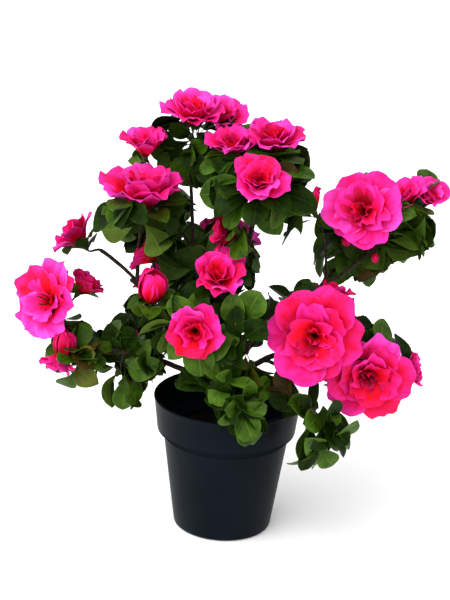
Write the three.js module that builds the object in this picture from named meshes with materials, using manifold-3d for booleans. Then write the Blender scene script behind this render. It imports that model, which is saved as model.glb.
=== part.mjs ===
// An artificial azalea in a plastic nursery pot, in millimetres, +Z up.
// The origin is the middle of the pot's flat underside, and the plant's front looks along -Y.
// A wired stem stands in the pot's filling and forks into boughs. The boughs fork into limbs,
// and each limb ends where it enters its mass of leaves and blooms.
import * as THREE from 'three';
import { mergeVertices } from 'three/addons/utils/BufferGeometryUtils.js';
import Module from 'manifold-3d';

const wasm = await Module();
wasm.setup();

// ---------- Driving dimensions ----------
const SEAT = 0.35; // clearance between two pieces that bear on each other
const MASS_GAP = 0.5; // clearance between two masses
const POT = { height: 112, rimRadius: 60, bandHeight: 32.5, bandTaper: 3.4, step: 5.4, stepRise: 5 };
const POT_WALL = { side: 1.8, floor: 3, footRounding: 2.5, baseRadius: 40, sides: 36 };
const FILLING = { depthBelowRim: 33, edgeDrop: 3, edgeWidth: 4, edgeInset: 1, sides: 24 };
const STEM = { footRadius: 8.5, radius: 6, tipRadius: 4, flare: 10, height: 75, sides: 10, steps: 6 };
const STEM_PATH = { foot: [-2, 2], tip: [-12, 4] }; // the stem's middle at its foot and its tip, from above
const BOUGH = { radius: 2.7, tipRadius: 1.9, sides: 6, steps: 5 };
const LIMB = { radius: 1.8, tipRadius: 1.4, sides: 5, steps: 3 };
const BLOOM = { open: 76, medium: 58, small: 48, half: 38, young: 28 }; // widths across the petals
const LEAF = { long: 46, middle: 39, short: 30 }; // lengths from twig to tip
const LUMP = { bloomDepth: 0.6, leafReach: 0.88, leafDepth: 0.46, leafSetBack: 0.2 };
const LUMP_SHAPE = { sides: 8, rows: 4, ripple: 0.12, wavesAcross: 4, wavesUp: 3 };

// ---------- Materials ----------
const finish = (color, roughness) => new THREE.MeshStandardMaterial({ color, roughness, metalness: 0 });
const POT_PLASTIC = finish(0x20282b, 0.45);
const DARK_FILLING = finish(0x15120f, 0.95);
const STEM_COATING = finish(0x3c2a1e, 0.6);
const FOLIAGE = finish(0x3f6b2a, 0.6);

// ---------- Small tools ----------
const vector = (x, y, z) => new THREE.Vector3(x, y, z);

// A closed three.js geometry as a solid that can be joined and cut.
function solidOf(geometry) {
  const bare = new THREE.BufferGeometry();
  bare.setAttribute('position', geometry.getAttribute('position'));
  bare.setIndex(geometry.index);
  const merged = mergeVertices(bare, 1e-4);
  const triangles = [];
  for (let i = 0; i < merged.index.count; i += 3) {
    const [a, b, c] = [0, 1, 2].map((k) => merged.index.getX(i + k));
    if (a !== b && b !== c && c !== a) triangles.push(a, b, c);
  }
  return new wasm.Manifold(new wasm.Mesh({
    numProp: 3,
    vertProperties: merged.attributes.position.array,
    triVerts: new Uint32Array(triangles),
  }));
}

// The largest body of a solid that a cut has left in pieces.
function mainBody(solid) {
  return solid.decompose().reduce((best, next) => (next.volume() > best.volume() ? next : best));
}

function meshOf(name, solid, material) {
  const made = solid.getMesh();
  const geometry = new THREE.BufferGeometry();
  geometry.setAttribute('position', new THREE.BufferAttribute(new Float32Array(made.vertProperties), 3));
  geometry.setIndex(new THREE.BufferAttribute(new Uint32Array(made.triVerts), 1));
  geometry.computeVertexNormals();
  const mesh = new THREE.Mesh(geometry, material);
  mesh.name = name;
  return mesh;
}

// A unit vector from its compass angle about +Z, from +X, and its height angle, both in degrees.
function heading([azimuth, elevation]) {
  const a = THREE.MathUtils.degToRad(azimuth);
  const e = THREE.MathUtils.degToRad(elevation);
  return vector(Math.cos(a) * Math.cos(e), Math.sin(a) * Math.cos(e), Math.sin(e));
}

// ---------- Pot and filling ----------
function turned(profile, sides) {
  const outline = profile.map(([radius, z]) => new THREE.Vector2(radius, z));
  return solidOf(new THREE.LatheGeometry(outline, sides).rotateX(Math.PI / 2));
}

const bandFoot = { radius: POT.rimRadius - POT.bandTaper, z: POT.height - POT.bandHeight + POT.stepRise };
const shoulder = { radius: bandFoot.radius - POT.step, z: POT.height - POT.bandHeight };
const innerBaseRadius = POT_WALL.baseRadius - POT_WALL.side;

// The pot's outer profile from its axis to its lip, pushed outwards by grow.
function potOutside(grow = 0) {
  const { baseRadius, footRounding } = POT_WALL;
  return [
    [0, 0],
    [baseRadius - footRounding + grow, 0],
    [baseRadius + grow, footRounding],
    [shoulder.radius + grow, shoulder.z],
    [bandFoot.radius + grow, bandFoot.z],
    [POT.rimRadius + grow, POT.height - POT_WALL.side / 2],
    [POT.rimRadius - POT_WALL.side / 2 + grow, POT.height + grow],
  ];
}

const potSolid = turned([
  ...potOutside(),
  [POT.rimRadius - POT_WALL.side, POT.height - POT_WALL.side / 2],
  [bandFoot.radius - POT_WALL.side, bandFoot.z],
  [shoulder.radius - POT_WALL.side, shoulder.z],
  [innerBaseRadius, POT_WALL.floor],
  [0, POT_WALL.floor],
], POT_WALL.sides);

// The room that the pot and what is inside it take up, which no mass reaches into.
const potRoom = turned([...potOutside(2 * SEAT), [0, POT.height + 2 * SEAT]], POT_WALL.sides);

const fillingTop = POT.height - FILLING.depthBelowRim;
const fillingFoot = POT_WALL.floor + SEAT;
const wallGap = 2 * SEAT; // the faceted wall comes in a little between its corners
const fillingEdge = shoulder.radius - POT_WALL.side - wallGap;
const fillingSolid = turned([
  [0, fillingFoot],
  [innerBaseRadius - wallGap, fillingFoot],
  [fillingEdge - FILLING.edgeInset, fillingTop - FILLING.edgeDrop],
  [fillingEdge - FILLING.edgeWidth, fillingTop],
  [0, fillingTop],
], FILLING.sides);

// ---------- Masses of leaves and blooms ----------
// Each head of a mass sits at a point and faces a heading. It has a bloom of some width,
// a whorl of leaves of some length behind it, or both.
const MASSES = {
  crown_left: [
    { at: [-41, 20, 342], face: [-110, 60], bloom: BLOOM.small, leaf: LEAF.middle },
    { at: [-11, 42, 338], face: [30, 55], bloom: BLOOM.half },
    { at: [-38, 26, 304], face: [-90, 20], leaf: LEAF.short },
  ],
  crown_right: [
    { at: [24, 2, 327], face: [-75, 70], bloom: BLOOM.small, leaf: LEAF.middle },
    { at: [-11, -2, 325], face: [150, 60], bloom: BLOOM.half },
    { at: [14, -46, 314], face: [-88, 50], bloom: BLOOM.half, leaf: LEAF.long },
    { at: [44, -6, 288], face: [-35, 15], leaf: LEAF.long },
    { at: [54, 14, 284], face: [10, 35], bloom: BLOOM.young },
  ],
  upper_left: [
    { at: [-75, 18, 313], face: [120, 70], bloom: BLOOM.half, leaf: LEAF.short },
  ],
  left_shelf: [
    { at: [-75, -25, 288], face: [-95, 78], bloom: BLOOM.open, leaf: LEAF.middle },
    { at: [-96, -12, 254], face: [190, 20], leaf: LEAF.short },
  ],
  left_outer: [
    { at: [-130, -5, 241], face: [185, 15], bloom: BLOOM.young, leaf: LEAF.short },
  ],
  left_far: [
    { at: [-152, -30, 198], face: [-115, 30], bloom: BLOOM.medium, leaf: LEAF.middle },
    { at: [-117, -8, 208], face: [-60, 35], bloom: BLOOM.young },
  ],
  left_low: [
    { at: [-132, -40, 158], face: [-150, 30], bloom: BLOOM.young, leaf: LEAF.middle },
    { at: [-116, -34, 140], face: [-80, -30], leaf: LEAF.short },
  ],
  left_inner: [
    { at: [-86, -18, 140], face: [-100, 10], leaf: LEAF.middle },
  ],
  centre_left: [
    { at: [-62, -55, 222], face: [-100, 45], bloom: BLOOM.half, leaf: LEAF.short },
  ],
  centre_front: [
    { at: [-31, -88, 203], face: [-95, 25], bloom: BLOOM.half, leaf: LEAF.long },
  ],
  centre: [
    { at: [-13, -58, 243], face: [-60, 50], bloom: BLOOM.half, leaf: LEAF.middle },
    { at: [-9, -30, 262], face: [-90, -10], bloom: BLOOM.young },
    { at: [-38, -36, 246], face: [-120, 20], leaf: LEAF.short },
  ],
  centre_right: [
    { at: [22, -58, 208], face: [-80, 30], leaf: LEAF.middle },
    { at: [14, -62, 178], face: [-95, 0], leaf: LEAF.long },
  ],
  low_front: [
    { at: [0, -74, 141], face: [-90, -5], leaf: LEAF.long },
    { at: [8, -84, 120], face: [-90, -10], leaf: LEAF.short },
  ],
  right_lower: [
    { at: [62, -70, 197], face: [-95, 20], bloom: BLOOM.open, leaf: LEAF.middle },
    { at: [76, -42, 220], face: [60, 60], bloom: BLOOM.young },
  ],
  right_outer: [
    { at: [106, -47, 161], face: [-75, -5], bloom: BLOOM.open, leaf: LEAF.middle },
    { at: [143, -32, 160], face: [-70, 0], bloom: BLOOM.young },
  ],
  right_low: [
    { at: [66, -58, 134], face: [-90, 5], leaf: LEAF.long },
    { at: [72, -68, 98], face: [-90, -10], leaf: LEAF.short },
  ],
  right_upper: [
    { at: [95, -22, 283], face: [-110, 30], bloom: BLOOM.medium, leaf: LEAF.middle },
    { at: [122, -4, 258], face: [-60, 10], leaf: LEAF.long },
    { at: [96, -4, 230], face: [-100, 0], leaf: LEAF.short },
    { at: [74, -2, 247], face: [180, 10], leaf: LEAF.short },
  ],
  right_tip: [
    { at: [150, 5, 293], face: [-40, 40], bloom: BLOOM.young, leaf: LEAF.short },
    { at: [130, 0, 292], face: [-110, 50], bloom: BLOOM.young - 4 },
  ],
  back_top: [
    { at: [10, 60, 290], face: [80, 50], bloom: BLOOM.medium, leaf: LEAF.middle },
  ],
  back_upper_left: [
    { at: [-74, 72, 246], face: [120, 30], bloom: BLOOM.medium, leaf: LEAF.middle },
  ],
  back_upper_right: [
    { at: [104, 58, 238], face: [60, 35], bloom: BLOOM.medium, leaf: LEAF.middle },
  ],
  back_centre: [
    { at: [-18, 102, 200], face: [92, 30], bloom: BLOOM.open, leaf: LEAF.middle },
  ],
  back_left: [
    { at: [-66, 92, 154], face: [125, 20], bloom: BLOOM.medium, leaf: LEAF.middle },
  ],
  back_right: [
    { at: [62, 96, 158], face: [60, 20], bloom: BLOOM.medium, leaf: LEAF.middle },
  ],
  back_low_left: [
    { at: [-94, 44, 130], face: [155, 0], bloom: BLOOM.half, leaf: LEAF.middle },
  ],
  back_low_right: [
    { at: [110, 44, 140], face: [30, 5], bloom: BLOOM.half, leaf: LEAF.middle },
  ],
  back_low: [
    { at: [2, 90, 132], face: [88, -5], leaf: LEAF.long },
  ],
};

// An uneven ball about a centre, as deep along a heading as halfDepth and halfWidth across it.
function lump(centre, along, halfWidth, halfDepth) {
  const ball = new THREE.SphereGeometry(1, LUMP_SHAPE.sides, LUMP_SHAPE.rows);
  const place = ball.getAttribute('position');
  const turn = new THREE.Quaternion().setFromUnitVectors(vector(0, 1, 0), along);
  const phase = centre.x * 0.13 + centre.z * 0.07; // makes each lump uneven in its own way
  for (let i = 0; i < place.count; i++) {
    const way = vector().fromBufferAttribute(place, i);
    const across = Math.sin(LUMP_SHAPE.wavesAcross * way.x + phase);
    const up = Math.cos(LUMP_SHAPE.wavesUp * way.z - phase);
    const uneven = 1 + LUMP_SHAPE.ripple * across * up;
    way.multiply(vector(halfWidth, halfDepth, halfWidth)).multiplyScalar(uneven);
    way.applyQuaternion(turn).add(centre);
    place.setXYZ(i, way.x, way.y, way.z);
  }
  return solidOf(ball);
}

function headLumps({ at, face, bloom = 0, leaf = 0 }, grow) {
  const along = heading(face);
  const centre = vector(...at);
  const halfDepth = (bloom * LUMP.bloomDepth) / 2;
  const behind = centre.clone().addScaledVector(along, -halfDepth - LUMP.leafSetBack * leaf);
  const lumps = [];
  if (bloom) lumps.push(lump(centre, along, bloom / 2 + grow, halfDepth + grow));
  if (leaf) lumps.push(lump(behind, along, LUMP.leafReach * leaf + grow, LUMP.leafDepth * leaf + grow));
  return lumps;
}

const massSolid = (heads, grow) => wasm.Manifold.union(heads.flatMap((head) => headLumps(head, grow)));

const masses = Object.entries(MASSES).map(([name, heads]) => ({
  name,
  heart: vector(...heads[0].at),
  whole: massSolid(heads, 0),
  grown: massSolid(heads, MASS_GAP),
}));

// Each mass keeps a thin gap to those before it.
masses.forEach((mass, i) => {
  const earlier = masses.slice(0, i);
  mass.solid = wasm.Manifold.difference([mass.whole, ...earlier.map((other) => other.grown)]);
  mass.keepOut = wasm.Manifold.difference([mass.grown, ...earlier.map((other) => other.whole)]);
});

// ---------- Stem, boughs and limbs ----------
// A round limb along a curve that bends in one plane, pushed outwards all round by grow.
function limbSolid(curve, radiusAt, { sides, steps }, grow = 0) {
  const bar = new THREE.CylinderGeometry(1, 1, 1, sides, steps);
  const place = bar.getAttribute('position');
  const chord = curve.getPoint(1).sub(curve.getPoint(0));
  const bend = curve.getPoint(0.5).sub(curve.getPoint(0));
  const side = chord.cross(bend).normalize();
  for (let i = 0; i < place.count; i++) {
    const share = THREE.MathUtils.clamp(place.getY(i) + 0.5, 0, 1);
    const along = curve.getTangent(share);
    const across = side.clone().cross(along).normalize();
    const radius = radiusAt(share) + grow;
    const atEnd = share < 1e-6 || share > 1 - 1e-6;
    const point = curve.getPoint(share)
      .addScaledVector(side, -place.getX(i) * radius)
      .addScaledVector(across, -place.getZ(i) * radius)
      .addScaledVector(along, atEnd ? Math.sign(place.getY(i)) * grow : 0);
    place.setXYZ(i, point.x, point.y, point.z);
  }
  return solidOf(bar);
}

const stemFoot = vector(...STEM_PATH.foot, fillingTop + SEAT);
const stemTip = vector(...STEM_PATH.tip, fillingTop + STEM.height);
const stemBend = vector(stemFoot.x, stemFoot.y, (stemFoot.z + stemTip.z) / 2);
const stemCurve = new THREE.QuadraticBezierCurve3(stemFoot, stemBend, stemTip);

function stemRadius(share) {
  const flare = Math.max(0, 1 - (share * STEM.height) / STEM.flare);
  return THREE.MathUtils.lerp(STEM.radius, STEM.tipRadius, share)
    + (STEM.footRadius - STEM.radius) * flare * flare;
}

const stemSolid = limbSolid(stemCurve, stemRadius, STEM);
const stemGrown = limbSolid(stemCurve, stemRadius, STEM, SEAT);
const limbs = { main_stem: { curve: stemCurve, solid: stemSolid, grown: stemGrown } };

// Each limb leaves its carrier at a share of the carrier's length, arches up by a rise at its
// middle, and ends at a fork's point or in a mass.
const LIMBS = [
  ['bough_crown', 'main_stem', 0.98, [-34, 8, 236], 6, BOUGH],
  ['bough_crown_right', 'main_stem', 0.92, 'crown_right', -14, BOUGH],
  ['bough_left', 'main_stem', 0.8, [-79, -5, 208], 4, BOUGH],
  ['bough_right', 'main_stem', 0.66, [75, 1, 212], 4, BOUGH],
  ['bough_front', 'main_stem', 0.6, 'centre_front', 14, BOUGH],
  ['bough_right_low', 'main_stem', 0.46, 'right_outer', 26, BOUGH],
  ['bough_left_low', 'main_stem', 0.42, 'left_low', 16, BOUGH],
  ['bough_back', 'main_stem', 0.86, 'back_centre', 16, BOUGH],
  ['bough_back_left', 'main_stem', 0.7, 'back_left', 16, BOUGH],
  ['bough_back_right', 'main_stem', 0.56, 'back_right', 16, BOUGH],
  ['limb_crown_left', 'bough_crown', 0.96, 'crown_left', -6, LIMB],
  ['limb_upper_left', 'bough_crown', 0.9, 'upper_left', -8, LIMB],
  ['limb_back_top', 'bough_crown', 0.8, 'back_top', -8, LIMB],
  ['limb_centre', 'bough_crown', 0.5, 'centre', 4, LIMB],
  ['limb_left_shelf', 'bough_left', 0.96, 'left_shelf', -6, LIMB],
  ['limb_left_outer', 'bough_left', 0.9, 'left_outer', 8, LIMB],
  ['limb_left_far', 'bough_left_low', 0.85, 'left_far', 4, LIMB],
  ['limb_back_upper_left', 'bough_left', 0.7, 'back_upper_left', -6, LIMB],
  ['limb_right_tip', 'bough_right', 0.96, 'right_tip', -8, LIMB],
  ['limb_right_upper', 'bough_right', 0.84, 'right_upper', -6, LIMB],
  ['limb_back_upper_right', 'bough_right', 0.74, 'back_upper_right', -6, LIMB],
  ['limb_centre_left', 'bough_front', 0.45, 'centre_left', -4, LIMB],
  ['limb_centre_right', 'bough_front', 0.35, 'centre_right', 4, LIMB],
  ['limb_low_front', 'bough_front', 0.25, 'low_front', 6, LIMB],
  ['limb_right_lower', 'bough_right_low', 0.4, 'right_lower', 4, LIMB],
  ['limb_right_low', 'bough_right_low', 0.3, 'right_low', 4, LIMB],
  ['limb_back_low_left', 'bough_back_left', 0.4, 'back_low_left', 2, LIMB],
  ['limb_back_low_right', 'bough_back_right', 0.4, 'back_low_right', 2, LIMB],
  ['limb_back_low', 'bough_back_right', 0.3, 'back_low', 2, LIMB],
];

for (const [name, carrier, share, end, rise, size] of LIMBS) {
  const from = limbs[carrier].curve.getPoint(share);
  const mass = masses.find((one) => one.name === end);
  const to = mass ? mass.heart : vector(...end);
  const bend = from.clone().lerp(to, 0.5).add(vector(0, 0, 2 * rise));
  const curve = new THREE.QuadraticBezierCurve3(from, bend, to);
  const radiusAt = (t) => THREE.MathUtils.lerp(size.radius, size.tipRadius, t);
  const others = Object.values(limbs).map((limb) => limb.grown);
  if (mass) others.push(mass.keepOut);
  const solid = mainBody(wasm.Manifold.difference([limbSolid(curve, radiusAt, size), ...others]));
  const grown = limbSolid(curve, radiusAt, size, SEAT);
  limbs[name] = { curve, solid, grown: mass ? grown.subtract(mass.solid) : grown };
}

const grownLimbs = Object.values(limbs).map((limb) => limb.grown);
for (const mass of masses) {
  mass.solid = mainBody(wasm.Manifold.difference([mass.solid, potRoom, ...grownLimbs]));
}

// ---------- The whole plant ----------
const plant = new THREE.Group();
plant.add(meshOf('pot', potSolid, POT_PLASTIC));
plant.add(meshOf('pot_filling', fillingSolid, DARK_FILLING));
for (const [name, { solid }] of Object.entries(limbs)) plant.add(meshOf(name, solid, STEM_COATING));
for (const { name, solid } of masses) plant.add(meshOf(`mass_${name}`, solid, FOLIAGE));

export default plant;
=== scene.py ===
import math

import bpy
import numpy as np
from mathutils import Matrix, Vector, noise


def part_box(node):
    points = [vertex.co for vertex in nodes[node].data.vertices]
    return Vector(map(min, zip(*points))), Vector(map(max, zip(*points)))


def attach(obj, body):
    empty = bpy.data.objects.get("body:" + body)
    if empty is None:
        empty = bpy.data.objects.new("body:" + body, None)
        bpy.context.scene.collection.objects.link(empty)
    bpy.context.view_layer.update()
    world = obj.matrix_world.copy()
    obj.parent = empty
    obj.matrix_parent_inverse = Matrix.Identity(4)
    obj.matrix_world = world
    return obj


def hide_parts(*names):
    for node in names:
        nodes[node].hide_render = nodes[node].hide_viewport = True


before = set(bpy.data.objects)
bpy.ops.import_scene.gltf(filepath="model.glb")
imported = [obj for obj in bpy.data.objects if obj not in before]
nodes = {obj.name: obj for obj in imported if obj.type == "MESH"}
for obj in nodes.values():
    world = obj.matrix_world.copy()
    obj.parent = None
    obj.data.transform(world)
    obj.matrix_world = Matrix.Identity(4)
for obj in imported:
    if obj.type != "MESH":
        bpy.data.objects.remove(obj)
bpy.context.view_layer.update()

# ---------------------------------------------------------------- camera
# The plant is seen from the front and about twenty degrees above, from a metre and a half away.
CAMERA_AIM = Vector((-0.006, 0.0, 0.194))
CAMERA_DISTANCE, CAMERA_DOWN, CAMERA_ROLL = 1.5, 19.7, 2.76
CAMERA_LENS, CAMERA_SENSOR = 112.68, 36.0

down = math.radians(CAMERA_DOWN)
sight = Vector((0.0, math.cos(down), -math.sin(down)))
camera = bpy.data.objects.new("camera", bpy.data.cameras.new("camera"))
camera.data.sensor_width, camera.data.lens = CAMERA_SENSOR, CAMERA_LENS
camera.data.sensor_fit = "AUTO"
camera.data.clip_start = 0.05
tilt = Matrix.Rotation(math.pi / 2 - down, 4, "X") @ Matrix.Rotation(math.radians(CAMERA_ROLL), 4, "Z")
camera.matrix_world = Matrix.Translation(CAMERA_AIM - sight * CAMERA_DISTANCE) @ tilt
bpy.context.collection.objects.link(camera)
bpy.context.scene.camera = camera
bpy.context.scene.view_settings.view_transform = "Standard"


# ---------------------------------------------------------------- floor and light
# A wide white floor under an even white sky, with a soft key from the left front, a weaker sun
# from the left side and a weak fill from the right front.
FLOOR_RADIUS, FLOOR_DROP = 14.0, 0.0006
FLOOR_SIDES, FLOOR_WHITE = 64, (0.95, 0.95, 0.95)
SKY_STRENGTH = 0.90
SUNS = (  # name, strength, and spread and turn in degrees
    ("key", 2.6, 60.0, (48.0, 0.0, -38.0)), ("side", 1.3, 50.0, (60.0, 0.0, -98.0)),
    ("fill", 0.6, 80.0, (50.0, 0.0, 60.0)))


class Wire:
    """A socket of a node tree that can stand in sums."""

    def __init__(self, board, socket):
        self.board, self.socket = board, socket

    def sum(self, kind, first, second):
        return self.board.node("ShaderNodeMath", dict(operation=kind), first, second)

    def __add__(self, other): return self.sum("ADD", self, other)
    def __radd__(self, other): return self.sum("ADD", other, self)
    def __sub__(self, other): return self.sum("SUBTRACT", self, other)
    def __rsub__(self, other): return self.sum("SUBTRACT", other, self)
    def __mul__(self, other): return self.sum("MULTIPLY", self, other)
    def __rmul__(self, other): return self.sum("MULTIPLY", other, self)
    def __truediv__(self, other): return self.sum("DIVIDE", self, other)
    def __rtruediv__(self, other): return self.sum("DIVIDE", other, self)
    def __pow__(self, other): return self.sum("POWER", self, other)
    def __abs__(self): return self.sum("ABSOLUTE", self, 0.0)


class Board:
    """A node tree, and the one way that a node is put into it."""

    def __init__(self, tree):
        self.tree = tree

    def feed(self, socket, value):
        if isinstance(value, Wire):
            self.tree.links.new(value.socket, socket)
        elif value is not None:
            socket.default_value = value

    def node(self, kind, settings=None, *values, out=0, **named):
        item = self.tree.nodes.new(kind)
        for key, value in (settings or {}).items():
            setattr(item, key, value)
        for place, value in enumerate(values):
            self.feed(item.inputs[place], value)
        for key, value in named.items():
            self.feed(item.inputs[key.replace("_", " ")], value)
        return Wire(self, item.outputs[out])

    def mix(self, factor, low, high):
        made = self.node("ShaderNodeMix", dict(data_type="RGBA"), factor, out=2)
        item = made.socket.node
        self.feed(item.inputs[6], low if isinstance(low, Wire) else (*low, 1.0))
        self.feed(item.inputs[7], high if isinstance(high, Wire) else (*high, 1.0))
        return made

    def ramp(self, value, low, high, start=0.0, end=1.0):
        settings = dict(interpolation_type="SMOOTHSTEP")
        return self.node("ShaderNodeMapRange", settings, value, low, high, start, end)


def finish(name, paint, roughness, specular=0.5, **uniform):
    """A principled material: paint(board) gives its colour and, if it has them, roughness and relief."""
    material = bpy.data.materials.new(name)
    material.use_nodes = True
    board = Board(material.node_tree)
    shader = material.node_tree.nodes["Principled BSDF"]
    made = paint(board) if callable(paint) else dict(colour=(*paint, 1.0))
    board.feed(shader.inputs["Base Color"], made["colour"])
    board.feed(shader.inputs["Roughness"], made.get("roughness", roughness))
    board.feed(shader.inputs["Specular IOR Level"], specular)
    for key, value in uniform.items():
        board.feed(shader.inputs[key.replace("_", " ")], value)
    if "height" in made:
        relief = board.node("ShaderNodeBump", None, Strength=made.get("strength", 0.4),
                            Distance=made.get("distance", 0.0006), Height=made["height"])
        board.feed(shader.inputs["Normal"], relief)
    return material


world = bpy.data.worlds.new("sky")
world.use_nodes = True
world.node_tree.nodes["Background"].inputs[0].default_value = (1.0, 1.0, 1.0, 1.0)
world.node_tree.nodes["Background"].inputs[1].default_value = SKY_STRENGTH
bpy.context.scene.world = world

for name, strength, angle, turn in SUNS:
    sun = bpy.data.objects.new(name, bpy.data.lights.new(name, "SUN"))
    sun.data.energy, sun.data.angle = strength, math.radians(angle)
    sun.rotation_euler = [math.radians(degrees) for degrees in turn]
    bpy.context.collection.objects.link(sun)

rim = [(FLOOR_RADIUS * math.cos(turn), FLOOR_RADIUS * math.sin(turn), -FLOOR_DROP)
       for turn in np.linspace(0.0, 2 * math.pi, FLOOR_SIDES, endpoint=False)]
floor_mesh = bpy.data.meshes.new("floor")
floor_mesh.from_pydata(rim, [], [range(FLOOR_SIDES)])
floor = bpy.data.objects.new("floor", floor_mesh)
bpy.context.collection.objects.link(floor)
floor.data.materials.append(finish("floor_white", FLOOR_WHITE, 0.9, 0.2))


# ---------------------------------------------------------------- pot
# A thin blow-moulded nursery pot of black polyethylene: tapered wall, a rounded step out to a
# wide band, a rolled lip, and a flat floor with a rounded foot. One piece, satin from its mould.
POT_SEGMENTS = 128
POT_RIM_RADIUS, POT_HEIGHT = 60.0, 112.0  # millimetres, as in the profiles
POT_BLACK, POT_WORN = (0.0022, 0.0040, 0.0058), (0.0030, 0.0054, 0.0076)
POT_STEP = 0.0815  # height of the rounded step, which is duller than the wall (metres)
POT_PROFILE = (  # radius and height in millimetres, outside from the foot to the lip
    (38.2, 0.0), (39.2, 0.3), (39.8, 0.9), (40.1, 1.9), (41.7, 12.5), (43.3, 24.0), (45.0, 36.0),
    (46.7, 48.0), (48.4, 60.0), (49.9, 70.5), (50.8, 77.2), (51.1, 79.2), (51.6, 80.5), (52.5, 81.3),
    (53.8, 81.9), (55.2, 82.5), (56.1, 83.3), (56.5, 84.4), (56.7, 86.0), (57.5, 93.0), (58.5, 101.0),
    (59.3, 107.8), (59.7, 109.9), (60.0, 110.7), (59.95, 111.4), (59.6, 111.85), (59.0, 112.0))
POT_INSIDE = (  # and inside from the lip to the floor
    (58.4, 111.8), (58.0, 111.2), (57.8, 110.0), (56.8, 101.0), (55.8, 93.0), (55.0, 86.2), (54.5, 84.9),
    (53.0, 83.7), (51.2, 82.9), (50.0, 81.7), (49.3, 79.6), (48.0, 70.5), (45.9, 56.0), (43.4, 38.0),
    (40.8, 20.0), (38.6, 5.0), (37.6, 3.4), (36.0, 3.0))


def piece(name, mesh, slot, *materials):
    """A finished object at the origin that rides on the plant."""
    made = bpy.data.objects.new(name, mesh)
    bpy.context.collection.objects.link(made)
    for material in materials:
        mesh.materials.append(material)
    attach(made, "root")
    return made


class Heap:
    """Gathers closed shapes from arrays, and joins them into one mesh."""

    def __init__(self):
        self.points, self.corners, self.sizes, self.maps, self.kinds, self.rims = [], [], [], [], [], []
        self.count = 0

    def add(self, points, faces, corner_map, kind=0, rims=None):
        points, faces = np.asarray(points, float), np.asarray(faces)
        self.points.append(points)
        self.corners.append((faces + self.count).ravel())
        self.sizes.append(np.full(len(faces), faces.shape[1]))
        self.maps.append(np.asarray(corner_map, float).reshape(-1, 2))
        self.kinds.append(np.broadcast_to(kind, len(faces)))
        self.rims.append(np.zeros(len(points), bool) if rims is None else rims)
        self.count += len(points)

    def more(self, faces, corner_map, kind=0):
        """Further faces on the shape added last."""
        start = self.count - len(self.points[-1])
        faces = np.asarray(faces)
        self.corners.append((faces + start).ravel())
        self.sizes.append(np.full(len(faces), faces.shape[1]))
        self.maps.append(np.asarray(corner_map, float).reshape(-1, 2))
        self.kinds.append(np.broadcast_to(kind, len(faces)))

    def mesh(self, name, map_name="UVMap"):
        made = bpy.data.meshes.new(name)
        points, corners, sizes = map(np.concatenate, (self.points, self.corners, self.sizes))
        made.vertices.add(len(points))
        made.vertices.foreach_set("co", points.ravel())
        made.loops.add(len(corners))
        made.loops.foreach_set("vertex_index", corners)
        made.polygons.add(len(sizes))
        made.polygons.foreach_set("loop_start", np.concatenate(([0], np.cumsum(sizes)[:-1])))
        made.polygons.foreach_set("material_index", np.concatenate(self.kinds))
        made.update(calc_edges=True)
        made.polygons.foreach_set("use_smooth", np.ones(len(sizes), bool))
        made.uv_layers.new(name=map_name).data.foreach_set("uv", np.concatenate(self.maps).ravel())
        rims = np.concatenate(self.rims)
        if rims.any():
            ends = np.zeros(len(made.edges) * 2, int)
            made.edges.foreach_get("vertices", ends)
            sharp = rims[ends.reshape(-1, 2)].all(axis=1)
            made.attributes.new("sharp_edge", "BOOLEAN", "EDGE").data.foreach_set("value", sharp)
        made.validate()
        return made


def wrapped(rows, columns):
    """The faces of a grid that closes on itself, their rows, and their corners' share of a turn."""
    row, column = np.meshgrid(np.arange(rows - 1), np.arange(columns), indexing="ij")
    following = (column + 1) % columns
    faces = np.stack([row * columns + column, row * columns + following,
                      (row + 1) * columns + following, (row + 1) * columns + column], -1).reshape(-1, 4)
    across = np.stack([column, column + 1, column + 1, column], -1).reshape(-1, 4) / columns
    return row, faces, across


def lathe(heap, profile, segments, kind=0, wobble=None):
    """A closed form turned round the Z axis; the profile runs from the axis, outwards and back."""
    rows = len(profile)
    turn = np.linspace(0.0, 2 * math.pi, segments, endpoint=False)
    radius, height = np.array(profile, float).T
    ring = np.stack([np.outer(radius, np.cos(turn)), np.outer(radius, np.sin(turn)),
                     np.repeat(height[:, None], segments, 1)], axis=-1)
    if wobble is not None:
        ring = wobble(ring)
    length = np.concatenate(([0], np.cumsum(np.hypot(np.diff(radius), np.diff(height)))))
    length /= length[-1]
    row, faces, across = wrapped(rows, segments)
    along = np.stack([length[row], length[row], length[row + 1], length[row + 1]], -1).reshape(-1, 4)
    poles = [ring[0].mean(0), ring[-1].mean(0)]
    heap.add(np.concatenate([ring.reshape(-1, 3), poles]), faces, np.stack([across, along], -1), kind)
    first, last = rows * segments, rows * segments + 1
    near, far = np.arange(segments), (rows - 1) * segments + np.arange(segments)
    step, wide = np.arange(segments) / segments, 1.0 / segments
    fan = lambda centre, one, two: np.stack([np.full(segments, centre), one, two], -1)
    ends = lambda height: np.stack([np.stack([step + wide / 2, step, step + wide], -1),
                                    np.full((segments, 3), height)], -1)
    heap.more(fan(first, np.roll(near, -1), near), ends(0.0), kind)
    heap.more(fan(last, far, np.roll(far, -1)), ends(1.0), kind)


low, high = map(np.array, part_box("pot"))
fit = np.array([(high[0] - low[0]) / 2 / POT_RIM_RADIUS, (high[2] - low[2]) / POT_HEIGHT])
pot_heap = Heap()
lathe(pot_heap, [(2.0, 0.0)] + list(POT_PROFILE) + list(POT_INSIDE) + [(2.0, 3.0)], POT_SEGMENTS)
pot_heap.points = [points * (fit[0], fit[0], fit[1]) for points in pot_heap.points]


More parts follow.
